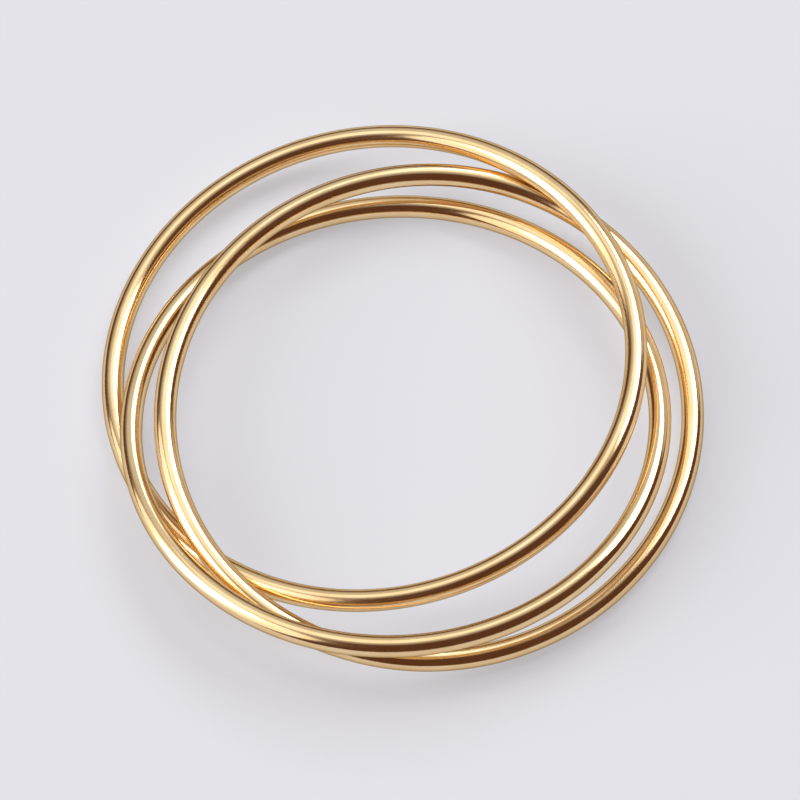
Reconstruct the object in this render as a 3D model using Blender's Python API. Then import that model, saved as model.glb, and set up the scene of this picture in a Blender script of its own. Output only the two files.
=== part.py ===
"""A finger ring made of three equal, interlinked bands of round polished wire.

The ring lies on a flat surface as it comes to rest by itself: each band touches the
surface at its lowest point, leans on the other two, and passes through both of them.
Metres, +Z up. The origin is on the surface, under the middle of the ring's outline.
+X is across, to the viewer's right, and +Y is away from the viewer.
"""

import math
from collections import namedtuple

import bmesh
import bpy
import numpy as np
from mathutils import Matrix

# Driving dimensions, in metres
BORE = 0.0182  # inside diameter of each band, a US size 8 finger
WIRE = 0.0008  # diameter of the round wire
REST_AIR = 0.00006  # air left between two bands where one rests on another

# Facets of one band
TURN_STEPS = 96  # straight steps round the band
WIRE_SIDES = 12  # sides of the wire, a multiple of four so that a corner points down
LINE_POINTS = 720  # points along a centre line when distances are measured
HALVINGS = 24  # in looking for the resting height, which leaves less than a millionth

# Gold: base colour (linear), roughness
GOLD_COLOUR = (0.80, 0.57, 0.29, 1.0)
GOLD_ROUGHNESS = 0.14

# Where each band lies. across and away place its centre, as shares of the band's radius.
# uphill is the direction towards which it rises, in degrees from +X towards +Y.
# rise is how much higher its upper side lies than its lower side, in wire spacings.
# The soft wire is slightly out of round: longer by the share stretch in the direction
# long_way, in degrees from +X towards +Y, and shorter by as much across it.
Band = namedtuple("Band", "name across away uphill rise stretch long_way")
BANDS = (
    Band("back_band", -0.076, 0.160, uphill=345, rise=2.80, stretch=0.020, long_way=130),
    Band("front_band", -0.027, -0.092, uphill=271, rise=2.60, stretch=0.016, long_way=118),
    Band("right_band", 0.103, -0.068, uphill=150, rise=2.35, stretch=0.015, long_way=61),
)

# Worked out from the driving dimensions
RADIUS = (BORE + WIRE) / 2  # of the wire's centre line, before the stretch
SPACING = WIRE + REST_AIR  # of two centre lines where one band rests on another


def tilt_of(band, lift):
    """Angle that gives the band its rise: sine = rise over the centre line's diameter."""
    return math.asin(lift * band.rise * SPACING / (2 * RADIUS))


def plane_of(band, lift):
    """Unit vectors in the tilted band's plane: uphill, and sideways, which is level."""
    tilt, turn = tilt_of(band, lift), math.radians(band.uphill)
    slope, rise = math.cos(tilt), math.sin(tilt)
    uphill = (slope * math.cos(turn), slope * math.sin(turn), rise)
    sideways = (-math.sin(turn), math.cos(turn), 0.0)
    return np.array((uphill, sideways))


def stretch_of(band):
    """Matrix that makes the band's circle an ellipse, with uphill as its first axis.

    It is 1 plus stretch times the mirror image in the long way, whose direction from
    uphill is a: the rows (cos 2a, sin 2a) and (sin 2a, -cos 2a).
    """
    twice = 2 * math.radians(band.long_way - band.uphill)
    mirror = ((math.cos(twice), math.sin(twice)), (math.sin(twice), -math.cos(twice)))
    return np.eye(2) + band.stretch * np.array(mirror)


def reach_of(band, lift):
    """How far the centre line reaches from its centre along X, Y and Z.

    An ellipse reaches as far as its stretched unit vector is long, times the radius.
    """
    return RADIUS * np.linalg.norm(stretch_of(band) @ plane_of(band, lift), axis=0)


def place_of(band, lift):
    """Centre that puts the band's lowest point on the surface."""
    height = WIRE / 2 + reach_of(band, lift)[2]
    return np.array((band.across * RADIUS, band.away * RADIUS, height))


def centre_line(band, lift):
    """Points centre + RADIUS (cos t, sin t) stretched, in the band's plane."""
    t = np.linspace(0, 2 * math.pi, LINE_POINTS, endpoint=False)
    circle = np.stack((np.cos(t), np.sin(t)), axis=1)
    return place_of(band, lift) + RADIUS * circle @ stretch_of(band) @ plane_of(band, lift)


def least_spacing(lift):
    """Least distance between the centre lines of any two bands."""
    lines = [centre_line(band, lift) for band in BANDS]
    pairs = ((lines[0], lines[1]), (lines[1], lines[2]), (lines[2], lines[0]))
    return min(np.linalg.norm(a[:, None] - b[None], axis=2).min() for a, b in pairs)


def resting_lift():
    """Common factor on the rises that leaves REST_AIR where two bands are nearest.

    The spacing grows with the lift. The lift is doubled until the bands are clear of each
    other, and halving the last step again and again closes in on the answer.
    """
    low, high = 0.0, 1.0
    while least_spacing(high) < SPACING:
        low, high = high, 2 * high
    for _ in range(HALVINGS):
        middle = (low + high) / 2
        if least_spacing(middle) < SPACING:
            low = middle
        else:
            high = middle
    return high


def outline_middle(lift):
    """Point on the surface under the middle of the box round all bands."""
    centres = np.array([place_of(band, lift) for band in BANDS])
    reaches = np.array([reach_of(band, lift) for band in BANDS])
    middle = ((centres - reaches).min(axis=0) + (centres + reaches).max(axis=0)) / 2
    return np.array((middle[0], middle[1], 0.0))


def gold(name):
    """Polished pale yellow gold, for one band."""
    material = bpy.data.materials.new(name)
    material.use_nodes = True
    shader = material.node_tree.nodes["Principled BSDF"]
    shader.inputs["Base Color"].default_value = GOLD_COLOUR
    shader.inputs["Metallic"].default_value = 1.0
    shader.inputs["Roughness"].default_value = GOLD_ROUGHNESS
    return material


def band_mesh(band):
    """The wire's round section, spun once round Z into a closed ring and stretched."""
    shape = bmesh.new()
    section = bmesh.ops.create_circle(shape, segments=WIRE_SIDES, radius=WIRE / 2)
    upright = Matrix.Rotation(math.radians(90), 3, "X")
    bmesh.ops.rotate(shape, verts=section["verts"], matrix=upright, cent=(0, 0, 0))
    bmesh.ops.translate(shape, verts=section["verts"], vec=(RADIUS, 0, 0))
    bmesh.ops.spin(
        shape,
        geom=shape.verts[:] + shape.edges[:],
        cent=(0, 0, 0),
        axis=(0, 0, 1),
        angle=2 * math.pi,
        steps=TURN_STEPS,
        use_merge=True,
    )
    stretch = Matrix(stretch_of(band).tolist()).to_4x4()
    bmesh.ops.transform(shape, matrix=stretch, verts=shape.verts[:])
    bmesh.ops.recalc_face_normals(shape, faces=shape.faces[:])
    mesh = bpy.data.meshes.new(band.name)
    shape.to_mesh(mesh)
    shape.free()
    mesh.shade_smooth()
    return mesh


def add_band(band, lift, middle, ring):
    """Lays one band: tilted about Y, then turned uphill about Z."""
    mesh = band_mesh(band)
    mesh.materials.append(gold(band.name + "_gold"))
    body = bpy.data.objects.new(band.name, mesh)
    bpy.context.collection.objects.link(body)
    body.parent = ring
    body.location = place_of(band, lift) - middle
    body.rotation_euler = (0, -tilt_of(band, lift), math.radians(band.uphill))


def main():
    for old in list(bpy.data.objects):
        bpy.data.objects.remove(old, do_unlink=True)
    ring = bpy.data.objects.new("three_band_ring", None)
    bpy.context.collection.objects.link(ring)
    lift = resting_lift()
    middle = outline_middle(lift)
    for band in BANDS:
        add_band(band, lift, middle, ring)


main()
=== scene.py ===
# %% [markdown]
# # A ring of three interlinked gold wires
# The ring is three equal bands of round wire, each passing through the other two. It lies
# on a pale table. The solids fix where every band lies and how thick it is. This script
# gives the bands their fine round surface, their polish, the light and the camera.

# %% The frame
import math

import bpy
import numpy as np
from mathutils import Matrix, Vector


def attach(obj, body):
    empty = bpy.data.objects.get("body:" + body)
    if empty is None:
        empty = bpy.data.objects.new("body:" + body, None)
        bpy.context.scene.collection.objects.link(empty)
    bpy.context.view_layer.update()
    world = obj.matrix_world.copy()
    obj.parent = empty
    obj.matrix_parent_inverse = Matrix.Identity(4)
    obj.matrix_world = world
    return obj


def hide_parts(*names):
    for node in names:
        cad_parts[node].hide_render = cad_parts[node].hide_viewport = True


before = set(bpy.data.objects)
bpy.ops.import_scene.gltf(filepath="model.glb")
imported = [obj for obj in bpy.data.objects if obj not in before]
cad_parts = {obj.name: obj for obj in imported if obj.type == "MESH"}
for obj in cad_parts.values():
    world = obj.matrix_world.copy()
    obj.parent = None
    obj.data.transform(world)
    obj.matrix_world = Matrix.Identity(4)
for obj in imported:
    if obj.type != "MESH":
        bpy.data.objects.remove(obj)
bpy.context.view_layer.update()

MM = 0.001  # one millimetre, in metres


# %% [markdown]
# ## Where each band lies
# The solids are faceted rings whose corners are spread evenly along a nearly round
# ellipse. The mean of the corners is the centre. How much they vary, and in which
# directions, gives the rest: they vary least along the axis, and the two other directions
# are the short and the long way across. Reading the place this way keeps the fine bands
# exactly on the solids, even if the ring is made again in another size.

# %% Measure the bands
BAND_NAMES = ("back_band", "front_band", "right_band")


def measure_ring(node):
    """Centre, axis, half widths and wire radius of a faceted ring.

    Corners a cos t away from the centre have a mean square of a squared / 2. The wire's
    own small circle has one of wire squared / 2 along the axis, and adds half as much to
    each of the two others. So a squared = 2 x mean square - mean square along the axis.
    """
    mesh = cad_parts[node].data
    corners = np.empty(len(mesh.vertices) * 3)
    mesh.vertices.foreach_get("co", corners)
    corners = corners.reshape(-1, 3)
    centre = corners.mean(axis=0)
    squares, directions = np.linalg.eigh(np.cov((corners - centre).T, bias=True))
    short, long = (np.sqrt(2 * squares[i] - squares[0]) for i in (1, 2))
    long_way = directions[:, 2]
    axis = directions[:, 0] * np.sign(directions[2, 0])
    return {
        "centre": centre,
        "axis": axis,
        "long_way": long_way,
        "short_way": np.cross(axis, long_way),
        "long": long,
        "short": short,
        "wire": np.sqrt(2 * squares[0]),
    }


rings = {name: measure_ring(name) for name in BAND_NAMES}
for name, ring in rings.items():
    tilt = math.degrees(math.acos(ring["axis"][2]))
    bores = [round(2 * (ring[way] - ring["wire"]) / MM, 2) for way in ("long", "short")]
    print(f"{name}: inside {bores} mm, wire {2 * ring['wire'] / MM:.3f} mm, tilt {tilt:.1f} deg")


# %% [markdown]
# ## The round wire
# On the real ring each band is drawn wire, bent round a rod, soldered and polished until
# the joint is gone. It could be a curve with a bevel, but a surface worked out on a grid
# of two angles keeps control of every point, and lets the wire carry its own map: how far
# round the band a point is, and how far round the wire.

# %% The surface of a band
TURN_STEPS = 900  # round the band
WIRE_STEPS = 48  # round the wire


def band_surface(ring, turn, side):
    """Points of a wire of round section that runs round an ellipse.

    centre line = centre + long cos turn long_way + short sin turn short_way
    outward     = (short cos turn long_way + long sin turn short_way) / its length
    point       = centre line + wire (cos side outward + sin side axis)
    """
    cos, sin = np.cos(turn)[..., None], np.sin(turn)[..., None]
    line = ring["centre"] + ring["long"] * cos * ring["long_way"]
    line += ring["short"] * sin * ring["short_way"]
    outward = ring["short"] * cos * ring["long_way"] + ring["long"] * sin * ring["short_way"]
    outward /= np.linalg.norm(outward, axis=-1, keepdims=True)
    across_wire = np.cos(side)[..., None] * outward + np.sin(side)[..., None] * ring["axis"]
    return line + ring["wire"] * across_wire


print("grid:", TURN_STEPS, "x", WIRE_STEPS, "points on each band")


# %% [markdown]
# ## From a grid to an object
# The grid of a band closes on itself both ways, like a tyre, so every point has four quads
# round it and there is no edge or pole. Blender takes the points and the quads as whole
# arrays, which is much quicker than adding them one by one.

# %% Mesh helpers
def closed_grid(rows, columns):
    """Quads of a grid that closes on itself both ways.

    Each quad joins a point, the one in the next row, that one's neighbour along its row,
    and the point's own neighbour.
    """
    index = np.arange(rows * columns).reshape(rows, columns)
    next_row = np.roll(index, -1, axis=0)
    corners = (index, next_row, np.roll(next_row, -1, axis=1), np.roll(index, -1, axis=1))
    return np.stack(corners, axis=-1).reshape(-1, 4)


def mesh_from_grid(name, points, quads):
    """A mesh whose points and quads are filled in as whole arrays."""
    mesh = bpy.data.meshes.new(name)
    mesh.vertices.add(len(points))
    mesh.vertices.foreach_set("co", points.astype(np.float32).ravel())
    mesh.loops.add(quads.size)
    mesh.loops.foreach_set("vertex_index", quads.astype(np.int32).ravel())
    mesh.polygons.add(len(quads))
    mesh.polygons.foreach_set("loop_start", np.arange(0, quads.size, 4, dtype=np.int32))
    mesh.update(calc_edges=True)
    mesh.validate()
    mesh.shade_smooth()
    return mesh


def add_object(name, data):
    """A new object at the origin, linked to the scene."""
    thing = bpy.data.objects.new(name, data)
    bpy.context.scene.collection.objects.link(thing)
    return thing


# %% [markdown]
# ## The wire's own map
# Polish runs along a wire, so its marks need coordinates that follow the wire. A flat map
# would show a seam where it closes. Here each point stores its place round the wire as a
# cosine and a sine, and its place round the band as another pair, all in millimetres. A
# four-dimensional noise reads the four numbers and meets itself without a seam.

# %% Make the bands
BAND_STEP = 50.0  # millimetres; keeps the marks of one band apart from the next one's

turn, side = np.meshgrid(
    np.linspace(0, 2 * np.pi, TURN_STEPS, endpoint=False),
    np.linspace(0, 2 * np.pi, WIRE_STEPS, endpoint=False),
    indexing="ij",
)
quads = closed_grid(TURN_STEPS, WIRE_STEPS)


def store_own_map(mesh, ring, turn, side, number):
    """Stores, in millimetres, where on its wire each point of a band is.

    wire_place = (wire cos side, wire sin side, long cos turn)
    wire_turn  = long sin turn + the band's number x BAND_STEP
    """
    wire, long = ring["wire"] / MM, ring["long"] / MM
    parts = (wire * np.cos(side), wire * np.sin(side), long * np.cos(turn))
    place = mesh.attributes.new("wire_place", "FLOAT_VECTOR", "POINT")
    place.data.foreach_set("vector", np.stack(parts, axis=-1).astype(np.float32).ravel())
    fourth = long * np.sin(turn) + BAND_STEP * number
    far = mesh.attributes.new("wire_turn", "FLOAT", "POINT")
    far.data.foreach_set("value", fourth.astype(np.float32).ravel())


bands = {}
for number, (name, ring) in enumerate(rings.items()):
    points = band_surface(ring, turn, side).reshape(-1, 3)
    mesh = mesh_from_grid(name + "_wire", points, quads)
    store_own_map(mesh, ring, turn, side, number)
    bands[name] = add_object(name + "_wire", mesh)
    print(f"{mesh.name}: {len(mesh.vertices)} points, {len(mesh.polygons)} quads")


# %% [markdown]
# ## Nodes in a few words
# A material is a network of small nodes. Written out one by one they hide what the material
# does, so the few kinds that come again get a helper: a noise that follows the wire, a
# stretch of a value that is spread to new limits, and a bump laid on the bump below it.

# %% Node helpers
def add_node(tree, kind, inputs=None, **properties):
    """A node of that kind, with its properties and then its inputs filled in."""
    node = tree.nodes.new(kind)
    for name, value in properties.items():
        setattr(node, name, value)
    for socket, value in (inputs or {}).items():
        node.inputs[socket].default_value = value
    return node


def spread(tree, value, low, high, to_low=0.0, to_high=1.0, **properties):
    """The value's stretch from low to high, mapped to to_low and to_high."""
    limits = {"From Min": low, "From Max": high, "To Min": to_low, "To Max": to_high}
    ranged = add_node(tree, "ShaderNodeMapRange", limits, **properties)
    tree.links.new(value, ranged.inputs["Value"])
    return ranged.outputs["Result"]


def wire_noise(tree, place, turn, along, per_mm, detail):
    """Noise with per_mm marks per millimetre round the wire.

    The two numbers that say how far round the band a point is are multiplied by along, so
    below 1 the marks are drawn out along the wire.
    """
    squeeze = add_node(tree, "ShaderNodeVectorMath", {1: (1, 1, along)}, operation="MULTIPLY")
    tree.links.new(place, squeeze.inputs[0])
    squeeze_turn = add_node(tree, "ShaderNodeMath", {1: along}, operation="MULTIPLY")
    tree.links.new(turn, squeeze_turn.inputs[0])
    fineness = {"Scale": per_mm, "Detail": detail}
    noise = add_node(tree, "ShaderNodeTexNoise", fineness, noise_dimensions="4D")
    tree.links.new(squeeze.outputs[0], noise.inputs["Vector"])
    tree.links.new(squeeze_turn.outputs[0], noise.inputs["W"])
    return noise.outputs["Fac"]


def bump(tree, height, depth, below=None):
    """A bump of that height and depth in metres, laid on the bump below it."""
    raised = add_node(tree, "ShaderNodeBump", {"Strength": 1.0, "Distance": depth})
    tree.links.new(height, raised.inputs["Height"])
    if below is not None:
        tree.links.new(below, raised.inputs["Normal"])
    return raised.outputs["Normal"]


# %% [markdown]
# ## Polished gold
# The metal is pale yellow gold. What the eye reads as polish is mostly the reflected
# studio, so the base is nearly even. Where the wire turns away from the eye, its rim is
# darkened with painted shade: the Specular Tint of the metal is set to a dull dark gold.
# On top of that come marks that a real wire has: long draw marks that the polish softened,
# a slow unevenness that bends reflections a little, and hairline scratches from wear. Apart
# from a faint change of tone they are bump and roughness, since a scratch in gold is still
# gold.

# %% The gold material
GOLD_PALE = (0.92, 0.685, 0.385, 1)
GOLD_DEEP = (0.87, 0.61, 0.315, 1)
GOLD_RIM_PAINTED_SHADE = (0.45, 0.36, 0.22, 1)  # painted shade: a dark rim where the surface turns away from the eye
SMOOTHEST, ROUGHEST = 0.10, 0.19  # roughness, which follows the draw marks

# A noise stays near 0.5. These are the stretches of it over which something changes.
TONE_STRETCH = (0.35, 0.65)
POLISH_STRETCH = (0.3, 0.7)
SCRATCH_STRETCH = (0.6, 0.7)  # only the peaks of the noise become scratches

# Depth of the bumps
UNEVEN_DEPTH = 0.004 * MM
DRAW_DEPTH = 0.0004 * MM
SCRATCH_DEPTH = 0.0003 * MM


def polished_gold():
    """Gold whose tone, roughness and bump follow the wire."""
    material = bpy.data.materials.new("polished_gold")
    material.use_nodes = True
    tree = material.node_tree
    shader = tree.nodes["Principled BSDF"]
    shader.inputs["Metallic"].default_value = 1.0
    # Painted shade: the Specular Tint darkens the rims, where the wire turns away from the eye.
    shader.inputs["Specular Tint"].default_value = GOLD_RIM_PAINTED_SHADE

    place = add_node(tree, "ShaderNodeAttribute", attribute_name="wire_place").outputs["Vector"]
    turn = add_node(tree, "ShaderNodeAttribute", attribute_name="wire_turn").outputs["Fac"]
    draw_marks = wire_noise(tree, place, turn, along=0.02, per_mm=14, detail=3)
    unevenness = wire_noise(tree, place, turn, along=0.8, per_mm=0.9, detail=1)
    scratches = wire_noise(tree, place, turn, along=0.3, per_mm=40, detail=2)

    tone = add_node(tree, "ShaderNodeMix", {"A": GOLD_PALE, "B": GOLD_DEEP}, data_type="RGBA")
    tree.links.new(spread(tree, unevenness, *TONE_STRETCH), tone.inputs["Factor"])
    tree.links.new(tone.outputs["Result"], shader.inputs["Base Color"])

    roughness = spread(tree, draw_marks, *POLISH_STRETCH, SMOOTHEST, ROUGHEST)
    tree.links.new(roughness, shader.inputs["Roughness"])

    normal = bump(tree, unevenness, UNEVEN_DEPTH)
    normal = bump(tree, draw_marks, DRAW_DEPTH, below=normal)
    peaks = spread(tree, scratches, *SCRATCH_STRETCH)
    normal = bump(tree, peaks, SCRATCH_DEPTH, below=normal)
    tree.links.new(normal, shader.inputs["Normal"])
    return material


gold = polished_gold()
for name, band in bands.items():
    band.data.materials.append(gold)
    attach(band, "root")
    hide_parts(name)
print("gold:", len(gold.node_tree.nodes), "nodes on", len(bands), "bands")


# %% [markdown]
# ## The table
# The ring lies on a plain pale surface. It is matt, and it is given painted light: it
# glows in its own colour, though it is no lamp, about as brightly as the lamps light it.
# That painted light keeps the shadows faint, as they are on pale stone under a wide sky,
# and throws a pale light back up under the wires.

# %% The floor
FLOOR_SIZE = 3.0  # metres; a square with the ring in its middle
FLOOR_PALE = (0.346, 0.351, 0.378, 1)
# painted light: how strongly the floor glows in its own colour
FLOOR_PAINTED_GLOW = 1.08
FLOOR_ROUGHNESS = 0.7


def pale_matt_painted_glow():
    """A plain matt surface that glows in its own colour, as painted light, since it is no lamp.
    """
    material = bpy.data.materials.new("pale_matt_painted_glow")
    material.use_nodes = True
    inputs = material.node_tree.nodes["Principled BSDF"].inputs
    inputs["Base Color"].default_value = FLOOR_PALE
    inputs["Roughness"].default_value = FLOOR_ROUGHNESS
    # The emission is painted light that lightens the floor's shadows.
    inputs["Emission Color"].default_value = FLOOR_PALE
    inputs["Emission Strength"].default_value = FLOOR_PAINTED_GLOW
    return material


half = FLOOR_SIZE / 2
floor_points = np.array([(-half, -half, 0), (half, -half, 0), (half, half, 0), (-half, half, 0)])
floor = add_object("floor", mesh_from_grid("floor", floor_points, np.array([[0, 1, 2, 3]])))
floor.data.materials.append(pale_matt_painted_glow())
print("floor:", FLOOR_SIZE, "m square")


# %% [markdown]
# ## Soft studio light
# Polished metal shows its surroundings, so the lights are chosen for what they look like in
# the wire. A wide, low light on the left has a brighter window in its middle, and a second
# window stands high behind on the right. They make the white glints where a wire turns
# towards them. A weaker light above and one low on the right fill in between.

# %% Lights
LIGHT_DISTANCE = 1.0


def soft_light(name, azimuth, elevation, half_width, half_height, strength):
    """An oval area light of radiance strength that faces the ring.

    size = 2 distance tan(half angle), and power = pi x radiance x area, which is what a
    flat panel of even radiance sends out. Angles are in degrees, azimuth from +X.
    """
    light = bpy.data.lights.new(name, "AREA")
    light.shape = "ELLIPSE"
    light.size = 2 * LIGHT_DISTANCE * math.tan(math.radians(half_width))
    light.size_y = 2 * LIGHT_DISTANCE * math.tan(math.radians(half_height))
    area = math.pi * light.size * light.size_y / 4
    light.energy = math.pi * strength * area
    lamp = add_object(name, light)
    turn, rise = math.radians(azimuth), math.radians(elevation)
    level = math.cos(rise)
    towards = Vector((level * math.cos(turn), level * math.sin(turn), math.sin(rise)))
    lamp.location = towards * LIGHT_DISTANCE
    lamp.rotation_euler = towards.to_track_quat("Z", "Y").to_euler()
    print(f"{name}: {light.energy:.1f} W, {light.size:.2f} x {light.size_y:.2f} m")


soft_light("left_light", azimuth=186, elevation=28, half_width=34, half_height=34, strength=1.25)
soft_light("left_window", azimuth=181, elevation=27, half_width=14, half_height=27, strength=4.6)
soft_light("rear_window", azimuth=38, elevation=48, half_width=26, half_height=15, strength=3.7)
soft_light("top_light", azimuth=105, elevation=68, half_width=22, half_height=15, strength=0.6)
soft_light("right_light", azimuth=40, elevation=14, half_width=20, half_height=14, strength=0.5)


# %% [markdown]
# ## The room in the reflections
# Where there is no lamp, a wire shows the room. It is pale high up behind the ring, and
# dark and warm everywhere else, and that gives each wire its broad tan stripe and the dark
# line beside it. The room fades from one to the other, so the stripes have soft edges.

# %% The room
PALE_SIDE = (-0.02, 0.50, 0.87)  # direction in which the room is palest
FADE = (0.62, 0.95)  # cosines of the angle from there, where the fade starts and ends
DARK_ROOM = (0.11, 0.05, 0.03, 1)
PALE_ROOM = (0.68, 0.68, 0.68, 1)


def studio_world():
    """A room whose brightness depends on the angle from its pale side."""
    world = bpy.data.worlds.new("studio")
    world.use_nodes = True
    room = world.node_tree
    palest = {1: Vector(PALE_SIDE).normalized()}
    look = add_node(room, "ShaderNodeTexCoord")
    facing = add_node(room, "ShaderNodeVectorMath", palest, operation="DOT_PRODUCT")
    room.links.new(look.outputs["Generated"], facing.inputs[0])
    fade = spread(room, facing.outputs["Value"], *FADE, interpolation_type="SMOOTHSTEP")
    blend = add_node(room, "ShaderNodeMix", {"A": DARK_ROOM, "B": PALE_ROOM}, data_type="RGBA")
    room.links.new(fade, blend.inputs["Factor"])
    room.links.new(blend.outputs["Result"], room.nodes["Background"].inputs["Color"])
    return world


bpy.context.scene.world = studio_world()
print("room:", len(bpy.context.scene.world.node_tree.nodes), "nodes")


# %% [markdown]
# ## The camera
# The camera looks down on the ring steeply and is rolled a little, so that what stands
# upright leans to the left. It stands as far away as for the whole table, with a longer
# lens that fills the picture with the ring.

# %% Camera
LOOK_DOWN = 61.5  # degrees below the horizon
ROLL = -8.0  # degrees; below 0 the camera turns clockwise, and the picture the other way
DISTANCE = 0.60  # from the camera to the point that it aims at
FIELD = 0.0285  # width of the picture at the ring
AIM = Vector((-0.00009, -0.00017, 0.0014))  # the point in the middle of the picture
SENSOR = 36  # millimetres, a full frame
NEAREST = 0.01  # what is closer to the camera isn't drawn


def camera_axes(look_down, roll):
    """Right, up and backward of a camera that looks along +Y and down, then rolls.

    right = (1, 0, 0) and up = right x forward, both turned by the roll about forward.
    """
    down, turn = math.radians(look_down), math.radians(roll)
    forward = Vector((0, math.cos(down), -math.sin(down)))
    right = Vector((1, 0, 0))
    up = right.cross(forward)
    rolled_right = right * math.cos(turn) + up * math.sin(turn)
    rolled_up = up * math.cos(turn) - right * math.sin(turn)
    return rolled_right, rolled_up, -forward


right, up, backward = camera_axes(LOOK_DOWN, ROLL)
camera_data = bpy.data.cameras.new("camera")
camera_data.sensor_width = SENSOR
camera_data.lens = SENSOR * DISTANCE / FIELD
camera_data.clip_start = NEAREST
camera = add_object("camera", camera_data)
turned = Matrix((right, up, backward)).transposed().to_4x4()
camera.matrix_world = Matrix.Translation(AIM + backward * DISTANCE) @ turned
bpy.context.scene.camera = camera
bpy.context.scene.view_settings.view_transform = "Standard"
print(f"camera: {camera_data.lens:.0f} mm lens at {DISTANCE} m")
